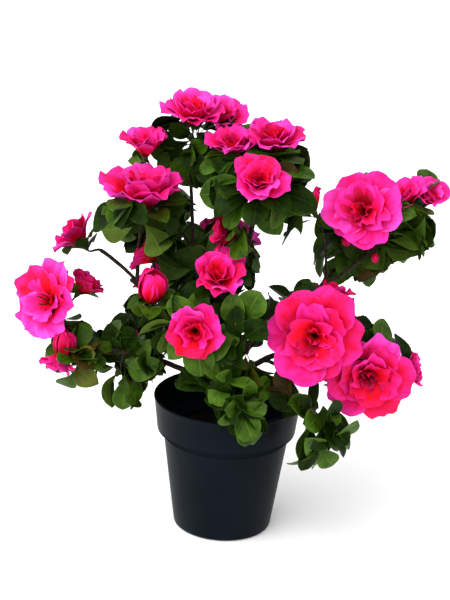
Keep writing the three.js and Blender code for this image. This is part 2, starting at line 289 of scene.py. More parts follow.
def plastic(board):
    place = board.node("ShaderNodeTexCoord", None, out=3)
    grain = board.node("ShaderNodeTexNoise", None, Vector=place, Scale=900.0, Detail=3.0)
    cloud = board.node("ShaderNodeTexNoise", None, Vector=place, Scale=24.0, Detail=4.0)
    height = Wire(board, board.node("ShaderNodeSeparateXYZ", None, place).socket.node.outputs[2])
    step = board.ramp(abs(height - POT_STEP), 0.0030, 0.0042, 1.0, 0.0)
    return dict(colour=board.mix(board.ramp(cloud, 0.35, 0.7), POT_BLACK, POT_WORN),
                roughness=cloud * 0.10 + 0.38 + step * 0.55, height=grain, strength=0.10, distance=0.00012)


pot = piece("pot_shell", pot_heap.mesh("pot_shell"), "pot_plastic",
            finish("pot_black", plastic, 0.36, 0.05, Specular_Tint=(0.72, 0.84, 1.0, 1.0)))
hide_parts("pot")


# ---------------------------------------------------------------- pot filling
# A cement plug cast in the pot, with a crumbled top coloured near black, partly its own dark colour and
# partly painted shade under the pot's rim. It holds the stem's foot and weighs the pot down.
FILL_RINGS, FILL_SEGMENTS, FILL_RELIEF, FILL_GAP = 26, 120, 0.0016, 0.0004
# Both tones are near black: the plug's own dark colour and painted shade inside the pot's mouth.
FILL_DARK, FILL_PALE = (0.003, 0.0026, 0.0022), (0.012, 0.0095, 0.007)
low, high = map(np.array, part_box("pot_filling"))
radius, under, top = (high[0] - low[0]) / 2, low[2], high[2]


def crumbled(ring):
    shape = ring.copy()
    upper = ring[..., 2] > top - 0.0021
    for spot in zip(*np.nonzero(upper)):
        point = Vector(ring[spot])
        bumps = noise.fractal(point * 240, 1.0, 2.0, 4)
        shape[spot][2] += FILL_RELIEF * (bumps - 0.3)
    return shape


filling_heap = Heap()
wall = [(inside * fit[0] - FILL_GAP, height * fit[1]) for inside, height in POT_INSIDE[::-1]]
wall = [(inside, max(height, under)) for inside, height in wall if under - 0.002 < height < top - 0.003]
steps = np.linspace(radius - 0.0012, 0.002, FILL_RINGS)
lathe(filling_heap, [(0.002, under), (wall[0][0] * 0.6, under)] + wall + [(radius - 0.0002, top - 0.003)]
      + [(step, top - 0.002) for step in steps], FILL_SEGMENTS, wobble=crumbled)


def crumb(board):
    place = board.node("ShaderNodeTexCoord", None, out=3)
    grain = board.node("ShaderNodeTexNoise", None, Vector=place, Scale=260.0, Detail=6.0)
    return dict(colour=board.mix(board.ramp(grain, 0.35, 0.7), FILL_DARK, FILL_PALE),
                height=grain, strength=0.6, distance=0.001)


filling = piece("foam_filling", filling_heap.mesh("foam_filling"), "pot_filling",
                finish("filling_dark", crumb, 0.9, 0.1))
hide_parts("pot_filling")


# ---------------------------------------------------------------- stems
# Wire stems wrapped in brown floral tape: one trunk from the filling, boughs that leave it one above
# another, and limbs that leave the boughs, each wrapped over the one before at its fork.
TRUNK_SIDES, STEM_SIDES, STEM_STEPS, STEM_OVERLAP = 20, 12, 22, 0.0022
STEM_DARK, STEM_PALE = (0.006, 0.004, 0.0022), (0.026, 0.017, 0.008)


def unit(vector):
    return vector / np.linalg.norm(vector, axis=-1, keepdims=True)


def tube(heap, path, radii, sides, kind=0, ripple=0.0, seed=0, cap=0.6):
    """A closed round rod along a path, its ends rounded off."""
    path, radii = np.asarray(path, float), np.asarray(radii, float)
    along = unit(np.gradient(path, axis=0))
    first, last = path[0] - along[0] * radii[0] * cap, path[-1] + along[-1] * radii[-1] * cap
    side = np.cross(along[0], (0.31, 0.17, 0.93))
    rows = []
    for place, (spot, ahead) in enumerate(zip(path, along)):
        side = unit(side - ahead * side.dot(ahead))
        rows.append((side, np.cross(ahead, side)))
    turn = np.linspace(0, 2 * math.pi, sides, endpoint=False)
    rows = np.array(rows)
    ring = (rows[:, 0, None] * np.cos(turn)[None, :, None] + rows[:, 1, None] * np.sin(turn)[None, :, None])
    swell = np.ones((len(path), sides))
    length = np.concatenate(([0], np.cumsum(np.linalg.norm(np.diff(path, axis=0), axis=1))))
    if ripple:
        phase = length[:, None] / (radii.mean() * 3.6) * 2 * math.pi
        swell += ripple * np.sin(phase + turn[None, :] + seed)
        swell += ripple * 0.8 * np.sin(phase * 0.37 + turn[None, :] * 3 + seed)
    points = path[:, None] + ring * (radii[:, None] * swell)[..., None]
    count, steps = sides, len(path)
    row, faces, across = wrapped(steps, count)
    far = np.stack([length[row], length[row], length[row + 1], length[row + 1]], -1).reshape(-1, 4) / 0.05
    heap.add(np.concatenate([points.reshape(-1, 3), [first, last]]), faces, np.stack([across, far], -1), kind)
    start, end = steps * count, steps * count + 1
    near, outer = np.arange(count), (steps - 1) * count + np.arange(count)
    small = np.tile(np.array([[0.5, 0.0], [0.4, 0.01], [0.6, 0.01]]), (count, 1, 1))
    heap.more(np.stack([np.full(count, start), np.roll(near, -1), near], -1), small, kind)
    heap.more(np.stack([np.full(count, end), outer, np.roll(outer, -1)], -1), small, kind)


def vertices(node):
    raw = np.zeros(len(nodes[node].data.vertices) * 3)
    nodes[node].data.vertices.foreach_get("co", raw)
    return raw.reshape(-1, 3)


def centreline(node, root):
    """The middle and the radii of a CAD stem, from the end that is nearer its root."""
    points = vertices(node)
    middle = points.mean(0)
    axis = np.linalg.svd(points - middle, full_matrices=False)[2][0]
    place = (points - middle) @ axis
    if np.linalg.norm(points[place.argmin()] - root) > np.linalg.norm(points[place.argmax()] - root):
        axis, place = -axis, -place
    shape = [np.polyfit(place, points[:, side], 2) for side in range(3)]
    on = lambda where: np.stack([np.polyval(curve, where) for curve in shape], -1)
    off = np.linalg.norm(points - on(place), axis=1)
    radius = np.polyfit(place, off, 1)
    where = np.linspace(place.min() - STEM_OVERLAP, place.max() + STEM_OVERLAP, STEM_STEPS)
    return on(where), np.maximum(np.polyval(radius, where), 0.0008)


stem_heap = Heap()
stem_nodes = [name for name in sorted(nodes) if name.startswith(("main_stem", "bough_", "limb_"))]
stem_lines = {}
low, high = map(np.array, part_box("main_stem"))
foot = np.array([(low[0] + high[0]) / 2, (low[1] + high[1]) / 2, low[2]])
for number, name in enumerate(stem_nodes):
    path, radii = centreline(name, foot)
    stem_lines[name] = (path, radii)
    thick = name == "main_stem"
    if thick:
        radii = radii * 1.02 + 0.003 * np.exp(-np.linspace(0, 1, len(radii)) / 0.06)
    else:
        radii = radii * (1 + 0.35 * np.exp(-np.linspace(0, 1, len(radii)) / 0.05))
    tube(stem_heap, path, radii, TRUNK_SIDES if thick else STEM_SIDES, ripple=0.05, seed=number)


def taped(low_tone, high_tone):
    def paint(board):
        place = board.node("ShaderNodeTexCoord", None, out=3)
        wraps = board.node("ShaderNodeTexWave", dict(wave_type="BANDS", bands_direction="Z"), Vector=place,
                           Scale=90.0, Distortion=9.0, Detail=3.0, Detail_Scale=1.4)
        patch = board.node("ShaderNodeTexNoise", None, Vector=place, Scale=70.0, Detail=5.0)
        return dict(colour=board.mix(board.ramp(patch * 0.7 + wraps * 0.3, 0.3, 0.7), low_tone, high_tone),
                    height=wraps * 0.5 + patch, strength=0.6, distance=0.0006)
    return paint


bark = finish("stem_tape", taped(STEM_DARK, STEM_PALE), 0.66, 0.14)
stems = piece("stem_frame", stem_heap.mesh("stem_frame"), "stems", bark)
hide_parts(*stem_nodes)


# ---------------------------------------------------------------- twigs
# Thin taped wires that carry the sprays. Each starts on the nearest limb of its mass and ends
# under a whorl of leaves or a flower, along the way that it faces.
TWIG_SIDES, TWIG_STEPS = 6, 9
TWIG_ROOT_RADIUS, TWIG_TIP_RADIUS = 0.0012, 0.00075
TWIG_DARK, TWIG_PALE = (0.008, 0.0056, 0.0026), (0.034, 0.026, 0.010)
FLOWER_STALK = 0.004
SEED = 4531
# Flowers by mass: kind, petal length in millimetres, heading (azimuth, elevation), tint, and the
# share of the half box that it lies from the middle.
# The tint "s" is a darker, redder copy of the pink "p" for flowers in shade: painted shade.
FLOWERS = {
    "crown_left": [("full", 30, (-90, 82), "p", (-0.1, -0.4, 0.3)),
                   ("cup", 24, (-70, 66), "p", (0.5, 0.2, 0.2))],
    "crown_right": [("full", 31, (-90, 80), "p", (0.15, 0.15, 0.45)),
                    ("cup", 27, (-110, 70), "p", (-0.5, 0.05, 0.4)),
                    ("cup", 29, (-90, 46), "s", (-0.05, -0.5, 0.05)),
                    ("cup", 21, (140, 48), "s", (0.9, 0.05, -0.5))],
    "upper_left": [("cup", 26, (-95, 86), "p", (-0.05, 0.0, 0.1))],
    "left_shelf": [("full", 41, (-95, 89), "p", (0.1, 0.0, 0.05)),
                   ("cup", 25, (165, 34), "s", (0.5, 0.3, -1.0))],
    "left_outer": [("cup", 27, (165, 45), "p", (0.1, 0.0, -0.1))],
    "left_far": [("starry", 34, (-130, 24), "p", (0.05, 0.1, 0.05)),
                 ("cup", 22, (20, 52), "s", (0.5, 0.45, 0.2))],
    "left_low": [("bigbud", 25, (-90, 86), "r", (-0.4, -0.4, 0.2)),
                 ("cup", 20, (-120, -58), "p", (-0.5, -0.2, 0.35)),
                 ("bud", 8, (-140, 20), "r", (0.3, -0.5, -0.3))],
    "centre_left": [("egg", 29, (-90, 74), "s", (-0.05, -0.1, -0.3))],
    "centre_front": [("cup", 29, (-95, 10), "s", (0.1, 0.4, -0.1))],
    "centre": [("cup", 29, (-85, 54), "s", (0.25, -0.1, -0.5)),
               ("cup", 24, (-170, 14), "r", (0.65, 0.6, 0.5))],
    "centre_right": [("bud", 5, (-90, 60), "r", (-0.3, -0.6, 0.2)),
                     ("bud", 6, (-80, 40), "r", (-0.1, -0.6, 0.1))],
    "right_lower": [("throated", 42, (-100, 12), "s", (0.15, 0.3, -0.2)),
                    ("cup", 20, (70, 64), "s", (0.5, 0.85, 0.3))],
    "right_outer": [("throated", 38, (-82, 0), "s", (-0.05, 0.3, -0.3)),
                    ("cup", 20, (-10, 20), "p", (0.6, 0.5, -0.35))],
    "right_upper": [("throated", 35, (-110, 24), "p", (-0.2, 0.0, 0.35)),
                    ("bud", 13, (-100, -35), "r", (-0.5, 0.0, 0.0)),
                    ("bud", 9, (-95, -40), "r", (0.0, -0.3, -0.2))],
    "right_tip": [("cup", 22, (-140, 66), "p", (-0.3, -0.5, -0.25)),
                  ("cup", 21, (-60, 58), "p", (0.35, -0.2, -0.25))],
    "back_top": [("medium", 29, (80, 50), "p", (0.1, 0.2, 0.35))],
    "back_upper_left": [("medium", 29, (120, 30), "p", (-0.25, 0.3, 0.25))],
    "back_upper_right": [("medium", 29, (60, 35), "p", (0.25, 0.3, 0.25))],
    "back_centre": [("open", 34, (92, 30), "p", (0.35, 0.35, 0.1))],
    "back_left": [("medium", 26, (120, 35), "p", (-0.05, 0.35, 0.45))],
    "back_right": [("medium", 26, (70, 25), "p", (0.35, 0.35, -0.15))],
    "back_low_left": [("half", 22, (110, 10), "p", (0.35, 0.45, -0.05))],
    "back_low_right": [("half", 22, (30, 5), "p", (0.5, 0.1, 0.0))],
}
# How far the outer petals of each kind open from the flower's heading, in degrees.
OPENING = {"throated": 70, "starry": 70, "open": 66, "full": 54, "medium": 54, "cup": 46, "half": 38,
           "bigbud": 11, "egg": 9, "bud": 7}
# Open spots where no leaf grows, seen from the camera: X, Z and radius, in millimetres, in the
# upright plane through the pot's axis.
OPEN_SPOTS = (
    (-90, 200, 13), (-70, 215, 6), (-35, 250, 7),  # left of the centre
    (30, 215, 8), (50, 225, 9), (60, 245, 7), (35, 200, 6),  # the wedge right of the centre
    (60, 310, 9), (50, 330, 6), (60, 290, 7),  # right of the crown
    (140, 220, 17), (120, 210, 8), (135, 190, 9), (150, 175, 10),  # between the flowers on the right
    (20, 150, 6), (-95, 125, 7), (-60, 115, 7), (-110, 110, 6),  # low in the plant
    (-30, 100, 10), (-20, 85, 8), (50, 75, 7), (45, 95, 7),  # in and beside the pot's mouth
    (-110, 270, 7), (-65, 350, 9), (-50, 370, 6), (155, 260, 5))  # along the outline
# Sprays: the area of a mass that one whorl covers, and how much thicker or thinner a mass is grown.
WHORL_AREA = 0.0011
THICKNESS = {"low_front": 0.8, "right_low": 0.75, "left_inner": 1.2, "left_far": 0.8, "back_centre": 1.2}


def heading(azimuth, elevation):
    azimuth, elevation = math.radians(azimuth), math.radians(elevation)
    return np.array([math.cos(elevation) * math.cos(azimuth), math.cos(elevation) * math.sin(azimuth),
                     math.sin(elevation)])


def across(way):
    """Two directions square to a way: one to its right, and one above it or, if it points up, behind."""
    side = unit(np.cross((0, 0, 1) if abs(way[2]) < 0.85 else (0, 1, 0), way))
    return side, np.cross(way, side)


def bezier(start, leave, arrive, end, steps):
    part = np.linspace(0, 1, steps)[:, None]
    return ((1 - part) ** 3 * start + 3 * (1 - part) ** 2 * part * leave
            + 3 * (1 - part) * part ** 2 * arrive + part ** 3 * end)


line_points = np.concatenate([path for path, _ in stem_lines.values()])
line_ways = np.concatenate([unit(np.gradient(path, axis=0)) for path, _ in stem_lines.values()])
twig_heap = Heap()
whorls, flowers = [], []
GOLDEN_ANGLE = 2.39996
LEAF_LENGTHS, LEAF_LEAST = (0.048, 0.042, 0.040, 0.035), 0.026
# How far leaves open out, in degrees: in a whorl, its first two, and those behind a flower.
CROWN, HEART, COLLAR = (38, 88), (10, 35), (62, 98)
# Leaf tints, dealt at random by whorl; "d" is a near-black copy of the leaf green that stands in for leaves
# in shade: painted shade.
TINT_NAMES = ("d", "m", "f", "o", "b")
TINT_SHARES = (0.47, 0.40, 0.09, 0.03, 0.01)
FLOWER_REACH = 1.25  # how much of the petals' length is kept free of leaves
CLOSED_ROOM, PETAL_ROOM = 32, 14  # degrees kept free round a closed flower, and past open petals


def twig(place, way, knots):
    """A twig to a place, that arrives along a way, from the nearest limb or knot."""
    gaps = np.linalg.norm(line_points - place, axis=1) + 0.012 * (line_ways @ -way)
    start, leave = line_points[gaps.argmin()], line_ways[gaps.argmin()]
    for knot, knot_way in knots:
        if np.linalg.norm(knot - place) + 0.010 < gaps.min():
            start, leave = knot, knot_way
    span = np.linalg.norm(place - start)
    path = bezier(start, start + leave * span * 0.30 + (place - start) * 0.12,
                  place - way * span * 0.38, place, TWIG_STEPS)
    tube(twig_heap, path, np.linspace(TWIG_ROOT_RADIUS, TWIG_TIP_RADIUS, TWIG_STEPS), TWIG_SIDES,
         ripple=0.06, seed=len(whorls))
    return path[-1], unit(path[-1] - path[-2])


def in_flower(base, tip):
    """Whether any of a leaf lies in the open mouth of a flower."""
    for mass, place, way, kind, size, tint in flowers:
        mouth = math.cos(math.radians(max(OPENING[kind] + PETAL_ROOM, CLOSED_ROOM)))
        for part in (0.35, 0.6, 0.8, 1.0):
            away = base + (tip - base) * part - place
            gap = np.linalg.norm(away)
            if gap < size * FLOWER_REACH and away @ way > gap * mouth:
                return True
    return False


def in_gap(base, tip, width):
    """Whether a leaf would close one of the open spots."""
    eye = np.array(camera.location)
    side = unit(np.cross(tip - base, sight)) * width * 0.4
    for part, shift in ((0.4, -1), (0.4, 1), (0.7, -1), (0.7, 1), (1.0, 0)):
        point = base + (tip - base) * part + side * shift
        seen = (eye + (point - eye) * (eye[1] / (eye[1] - point[1])))[[0, 2]] * 1000
        if any(np.hypot(*(seen - (x, z))) < radius for x, z, radius in OPEN_SPOTS):
            return True
    return False


def spray(place, way, middle, half, spread):
    """A whorl of leaves in one colour, fewer where they would reach an open spot or a flower."""
    side, over = across(way)
    first = rng.uniform(0, 2 * math.pi)
    tint = rng.choice(TINT_NAMES, p=TINT_SHARES)
    leaves = []
    for number in range(int(rng.integers(6, 9))):
        turn = first + number * GOLDEN_ANGLE + rng.normal() * 0.15
        angles = spread if number > 1 or spread is COLLAR else HEART
        open_out = math.radians(rng.uniform(*angles))
        out = side * math.cos(turn) + over * math.sin(turn)
        ahead = way * math.cos(open_out) + out * math.sin(open_out)
        normal = way * math.sin(open_out) - out * math.cos(open_out) + (0, 0, 0.35)
        length = rng.choice(LEAF_LENGTHS) * rng.uniform(0.9, 1.08)
        width = rng.uniform(0.48, 0.64)
        tip = place + ahead * length
        away = np.linalg.norm((tip - middle) / np.maximum(half, (0, LEAF_ROOM, 0)))
        if away > MASS_EDGE:
            tip = middle + (tip - middle) * MASS_EDGE / away
            length = np.linalg.norm(tip - place)
        if length > LEAF_LEAST and not in_flower(place, tip) and not in_gap(place, tip, length * width):
            leaves.append((place + ahead * 0.001, tip, normal, length * width, tint))
    return leaves


MASS_EDGE = 1.08  # how far leaves reach, as a share of the half box
LEAF_ROOM = 0.033  # a thin mass is taken as at least this deep, on each side of its middle
COLLARED = 0.018  # flowers with shorter petals have no leaves behind them
masses = [name[5:] for name in sorted(nodes) if name.startswith("mass_")]
heart = sum(np.add(*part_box("mass_" + mass)) / 2 for mass in masses) / len(masses)
mass_knots = {mass: [] for mass in masses}
for mass in masses:
    low, high = map(np.array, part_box("mass_" + mass))
    middle, half = (low + high) / 2, (high - low) / 2
    for kind, size, faces, tint, share in FLOWERS.get(mass, []):
        place, way = middle + half * share, heading(*faces)
        twig(place - way * FLOWER_STALK, way, mass_knots[mass])
        flowers.append((mass, place, way, kind, size * 0.001, tint))
for number, mass in enumerate(masses):
    rng = np.random.default_rng(SEED + 300 + number)
    low, high = map(np.array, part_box("mass_" + mass))
    middle, half = (low + high) / 2, (high - low) / 2
    for owner, place, way, kind, size, tint in flowers:
        if owner == mass and size > COLLARED:
            whorls.append((mass, spray(place - way * size * 0.2, way, middle, half, COLLAR)))
    surface = 4 * math.pi * np.prod(half) ** (2 / 3)
    outward = unit(middle - heart)
    for _ in range(round(surface / WHORL_AREA * THICKNESS.get(mass, 1.0))):
        way = unit(rng.normal(size=3) + outward * 0.6 + (0, 0, 0.35))
        place = middle + half * way * rng.uniform(0.0, 0.45)
        leaves = spray(place, way, middle, half, CROWN)
        if len(leaves) > 2:
            mass_knots[mass].append(twig(place, way, mass_knots[mass]))
            whorls.append((mass, leaves))

twig_tape = finish("twig_tape", taped(TWIG_DARK, TWIG_PALE), 0.66, 0.14)
twigs = piece("twigs", twig_heap.mesh("twigs"), "stems", twig_tape)


# ---------------------------------------------------------------- leaves
# Each leaf is a stamped piece of stiffened cloth with a wire in its midrib: spoon-shaped or
# pointed, folded a little along the midrib and bent down, dark above and paler beneath.
BLADE_ROWS, BLADE_COLUMNS, BLADE_THICK = 16, 5, 0.007
BLADES = (  # where it is widest, roundness of foot and tip, fold, droop, twist, wave
    (1.75, 0.95, 0.42, 0.30, 0.16, 0.10, 0.020), (1.50, 0.85, 0.46, 0.45, 0.28, -0.20, 0.030),
    (1.15, 0.70, 0.62, 0.35, 0.20, 0.15, 0.020), (1.85, 1.05, 0.44, 0.50, 0.34, -0.10, 0.025),
    (1.90, 1.00, 0.40, 0.22, 0.08, -0.25, 0.035), (1.35, 0.75, 0.50, 0.60, 0.42, 0.25, 0.030),
    (1.60, 0.85, 0.45, 0.25, 0.05, -0.12, 0.040), (1.60, 0.90, 0.48, 0.40, 0.22, 0.30, 0.045),
    (1.25, 0.80, 0.72, 0.30, -0.10, 0.05, 0.030), (1.45, 0.80, 0.50, 0.70, 0.30, -0.05, 0.015),
    (1.95, 0.90, 0.44, 0.25, 0.12, 0.05, 0.020))
LEAF_STALK, LEAF_STALK_WIDTH = 0.09, 0.032
LEAF_TINTS = {  # above low, above high, beneath low, beneath high
    # "d" is kept near black as painted shade for leaves in shade.
    "d": ((0.0024, 0.0072, 0.0003), (0.0100, 0.029, 0.0007), (0.0072, 0.017, 0.0011),
          (0.017, 0.037, 0.0026)),
    "m": ((0.0110, 0.030, 0.0008), (0.042, 0.098, 0.0032), (0.026, 0.056, 0.0045), (0.050, 0.094, 0.0090)),
    "f": ((0.0200, 0.052, 0.0020), (0.058, 0.126, 0.0075), (0.052, 0.094, 0.0090), (0.084, 0.134, 0.0180)),
    "o": ((0.0300, 0.042, 0.0017), (0.074, 0.086, 0.0068), (0.046, 0.052, 0.0068), (0.070, 0.078, 0.0120)),
    "b": ((0.0200, 0.012, 0.0017), (0.048, 0.030, 0.0043), (0.027, 0.017, 0.0034), (0.046, 0.030, 0.0068)),
}
LEAF_SHINE = {"d": 0.04, "m": 0.10, "f": 0.11, "o": 0.10, "b": 0.07}
REGIONS = {
    "crown": ("crown_left", "crown_right", "upper_left", "back_top"),
    "left": ("left_shelf", "left_outer", "left_far", "left_low", "left_inner"),
    "centre": ("centre_left", "centre_front", "centre", "centre_right", "low_front"),
    "right": ("right_lower", "right_outer", "right_low", "right_upper", "right_tip"),
    "back": ("back_upper_left", "back_upper_right", "back_centre", "back_left", "back_right",
             "back_low_left", "back_low_right", "back_low"),
}


def two_sheets(centre, normal, thick):
    """A closed thin shape from a grid of points: a front and a back sheet that share their rim."""
    rows, columns = centre.shape[:2]
    inner = np.zeros((rows, columns), bool)
    inner[1:-1, 1:-1] = True
    front = centre + normal * (thick / 2 * inner)[..., None]
    back = (centre - normal * (thick / 2 * inner)[..., None])[inner]
    number = np.arange(rows * columns).reshape(rows, columns)
    behind = number.copy()
    behind[inner] = rows * columns + np.arange(inner.sum())
    corners = lambda grid: (grid[:-1, :-1], grid[:-1, 1:], grid[1:, 1:], grid[1:, :-1])
    quads = lambda grid: np.stack(corners(grid), -1).reshape(-1, 4)
    faces = np.concatenate([quads(number), quads(behind)[:, ::-1]])
    rims = np.concatenate([~inner.ravel(), np.zeros(inner.sum(), bool)])
    return np.concatenate([front.reshape(-1, 3), back]), faces, rims, len(quads(number))


def sheet_map(rows, columns):
    along, over = np.meshgrid(np.linspace(0, 1, rows), np.linspace(0, 1, columns), indexing="ij")
    grid = np.stack([over, along], -1)
    quads = np.stack([grid[:-1, :-1], grid[:-1, 1:], grid[1:, 1:], grid[1:, :-1]], -2).reshape(-1, 4, 2)
    return np.concatenate([quads, quads[:, ::-1]])


def slopes(centre):
    """The normals of a grid of points, by its rows and columns."""
    return unit(np.cross(np.gradient(centre, axis=1), np.gradient(centre, axis=0)))


blades = bpy.data.collections.new("blades")
blade_tips = []
for number, (wide, foot, tip, fold, droop, twist, wave) in enumerate(BLADES):
    body = (1 - np.cos(np.linspace(0, math.pi, BLADE_ROWS - 1))) / 2
    along = np.concatenate(([0.0], LEAF_STALK + (1 - LEAF_STALK) * body))
    body = np.concatenate(([0.0], body))
    round_off = np.where(body ** wide < 0.5, foot, tip)
    outline = 0.5 * np.maximum(np.sin(math.pi * body ** wide).clip(0) ** round_off, LEAF_STALK_WIDTH)
    over = np.linspace(-1, 1, BLADE_COLUMNS)
    x = outline[:, None] * over[None, :]
    y = np.repeat(along[:, None], BLADE_COLUMNS, 1) - 0.025 * np.abs(over)[None, :] * body[:, None] ** 2
    z = fold * np.abs(x) * 0.55 - 0.16 * x ** 2
    waves = np.sin(along[:, None] * 9.0 + number + 2.2 * np.sign(over))
    z += wave * waves * np.abs(over) * body[:, None] ** 0.7
    bend = twist * body[:, None]
    x, z = x * np.cos(bend) - z * np.sin(bend), x * np.sin(bend) + z * np.cos(bend)
    z = z + 0.10 * np.sin(math.pi * along[:, None]) - droop * along[:, None] ** 2.2
    centre = np.stack([x, y, z], -1)
    points, faces, rims, fronts = two_sheets(centre, slopes(centre), BLADE_THICK)
    blade_heap = Heap()
    blade_heap.add(points, faces, sheet_map(BLADE_ROWS, BLADE_COLUMNS),
                   np.repeat([0, 1], [fronts, fronts]), rims)
    blade_mesh = blade_heap.mesh(f"blade_{number:02d}", "blade_map")
    beneath = blade_mesh.attributes.new("beneath", "INT", "FACE")
    beneath.data.foreach_set("value", np.repeat([0, 1], [fronts, fronts]))
    blades.objects.link(bpy.data.objects.new(f"blade_{number:02d}", blade_mesh))
    blade_tips.append(centre[-1, BLADE_COLUMNS // 2])


def leaf_cloth(low_tone, high_tone, beneath):
    def paint(board):
        mapped = board.node("ShaderNodeUVMap", dict(uv_map="blade_map"))
        place = board.node("ShaderNodeTexCoord", None, out=3)
        parts = board.node("ShaderNodeSeparateXYZ", None, mapped)
        over = abs(parts - 0.5) * 2.0
        along = Wire(board, parts.socket.node.outputs[1])
        ribs = board.node("ShaderNodeMath", dict(operation="PINGPONG"), along * 8.0 - over * 1.8, 0.5)
        rib = board.ramp(ribs, 0.0, 0.13, 1.0, 0.0) * (1.0 - over * 0.6)
        spine = board.ramp(over, 0.03, 0.10, 1.0, 0.0)
        cloud = board.node("ShaderNodeTexNoise", None, Vector=place, Scale=110.0, Detail=3.0)
        # Random cloud, running a little lighter towards the edge; with the pale rim below, a painted
        # highlight along the leaf's edge.
        tone = board.mix(board.ramp(cloud + over * 0.12, 0.26, 0.86), low_tone, high_tone)
        pale = tuple(channel * 1.9 + 0.006 for channel in high_tone)
        blade_part = board.ramp(along, 0.06, 0.22)
        rim = board.ramp(over, 0.90, 1.0)
        tone = board.mix(spine * blade_part * 0.26, tone, pale)
        tone = board.mix(rib * blade_part * 0.13, tone, pale)
        # The pale rim is a painted highlight along the leaf's edge.
        tone = board.mix(rim * blade_part * 0.30, tone, pale)
        side = -1.0 if beneath else 1.0
        swell = board.ramp(ribs, 0.0, 0.5) * (1.0 - over * 0.4)
        return dict(colour=tone, height=(spine * -0.8 + swell * 0.30) * side + cloud * 1.1,
                    roughness=cloud * 0.18 + (0.50 if beneath else 0.34), strength=0.7, distance=0.0007)
    return paint


leaf_finishes = []
for tint, (low_above, high_above, low_beneath, high_beneath) in LEAF_TINTS.items():
    above, under = leaf_cloth(low_above, high_above, False), leaf_cloth(low_beneath, high_beneath, True)
    leaf_finishes.append(finish(f"leaf_{tint}_above", above, 0.42, LEAF_SHINE[tint]))
    leaf_finishes.append(finish(f"leaf_{tint}_beneath", under, 0.55, 0.06))


def spray_tree():
    """A node group that puts the chosen blade on every point and makes it real."""
    tree = bpy.data.node_groups.new("spray", "GeometryNodeTree")
    for label, kind in (("Points", "NodeSocketGeometry"), ("Blades", "NodeSocketCollection"),
                        ("Size", "NodeSocketFloat")):
        tree.interface.new_socket(name=label, in_out="INPUT", socket_type=kind)
    tree.interface.new_socket(name="Sprays", in_out="OUTPUT", socket_type="NodeSocketGeometry")
    board = Board(tree)
    start = tree.nodes.new("NodeGroupInput")
    points, chosen, size = (Wire(board, start.outputs[number]) for number in range(3))
    stock = board.node("GeometryNodeCollectionInfo", dict(transform_space="ORIGINAL"), chosen, True, True)
    named = lambda kind, name: board.node("GeometryNodeInputNamedAttribute", dict(data_type=kind), name)
    scale = board.node("ShaderNodeVectorMath", dict(operation="SCALE"),
                       named("FLOAT_VECTOR", "scale"), Scale=size)
    placed = board.node("GeometryNodeInstanceOnPoints", None, points, True, stock, True,
                        named("INT", "blade"), named("QUATERNION", "turn"), scale)
    shape = board.node("GeometryNodeRealizeInstances", None, placed)
    for number, material in enumerate(leaf_finishes):
        tint, beneath = divmod(number, 2)
        is_tint = board.node("FunctionNodeCompare", dict(data_type="INT", operation="EQUAL"))
        item = is_tint.socket.node
        board.feed(item.inputs[2], named("INT", "tint"))
        item.inputs[3].default_value = tint
        is_sheet = board.node("FunctionNodeCompare", dict(data_type="INT", operation="EQUAL"))
        item = is_sheet.socket.node
        board.feed(item.inputs[2], named("INT", "beneath"))
        item.inputs[3].default_value = beneath
        both = board.node("FunctionNodeBooleanMath", dict(operation="AND"), is_tint, is_sheet)
        shape = board.node("GeometryNodeSetMaterial", None, shape, both, material)
    end = tree.nodes.new("NodeGroupOutput")
    board.feed(end.inputs[0], shape)
    return tree


sprays = spray_tree()
leaf_rows = {region: [] for region in REGIONS}
region_of = {mass: region for region, masses in REGIONS.items() for mass in masses}


def leaf(region, base, tip, normal, width, tint):
    """One leaf from its base to its tip, its upper side towards the normal."""
    blade = int(rng.integers(len(BLADES)))
    reach = blade_tips[blade]
    length = np.linalg.norm(tip - base) / math.hypot(reach[1], reach[2])
    if length < 0.002:
        return
    lie = math.atan2(reach[2], reach[1])
    way = unit(tip - base)
    up = normal - way * normal.dot(way)
    up = unit(up) if np.linalg.norm(up) > 1e-4 else across(way)[0]
    ahead = way * math.cos(lie) - up * math.sin(lie)
    up = up * math.cos(lie) + way * math.sin(lie)
    turn = Matrix(np.stack([np.cross(ahead, up), ahead, up], -1).tolist()).to_quaternion()
    leaf_rows[region].append((base, tuple(turn), (width, length, length), blade, TINT_NAMES.index(tint)))


for mass, leaves in whorls:
    for row in leaves:
        leaf(region_of[mass], *row)

MAP_PAD = 0.012


def atlas(mesh, source, cells, columns, rows):
    """A second map for finishing: every material has a cell, and its like sheets lie in it together."""
    count = len(mesh.polygons)
    kinds, sizes = np.zeros(count, int), np.zeros(count, int)
    mesh.polygons.foreach_get("material_index", kinds)
    mesh.polygons.foreach_get("loop_total", sizes)
    flat = np.zeros(len(mesh.loops) * 2)
    mesh.uv_layers[source].data.foreach_get("uv", flat)
    flat = flat.reshape(-1, 2)
    cell = np.repeat(cells(kinds), sizes)
    size = np.array([1.0 / columns, 1.0 / rows])
    corner = np.stack([cell % columns, cell // columns], -1) * size
    spread = corner + MAP_PAD / 2 + flat * (size - MAP_PAD)
    mesh.uv_layers.new(name="OFBake").data.foreach_set("uv", spread.ravel())


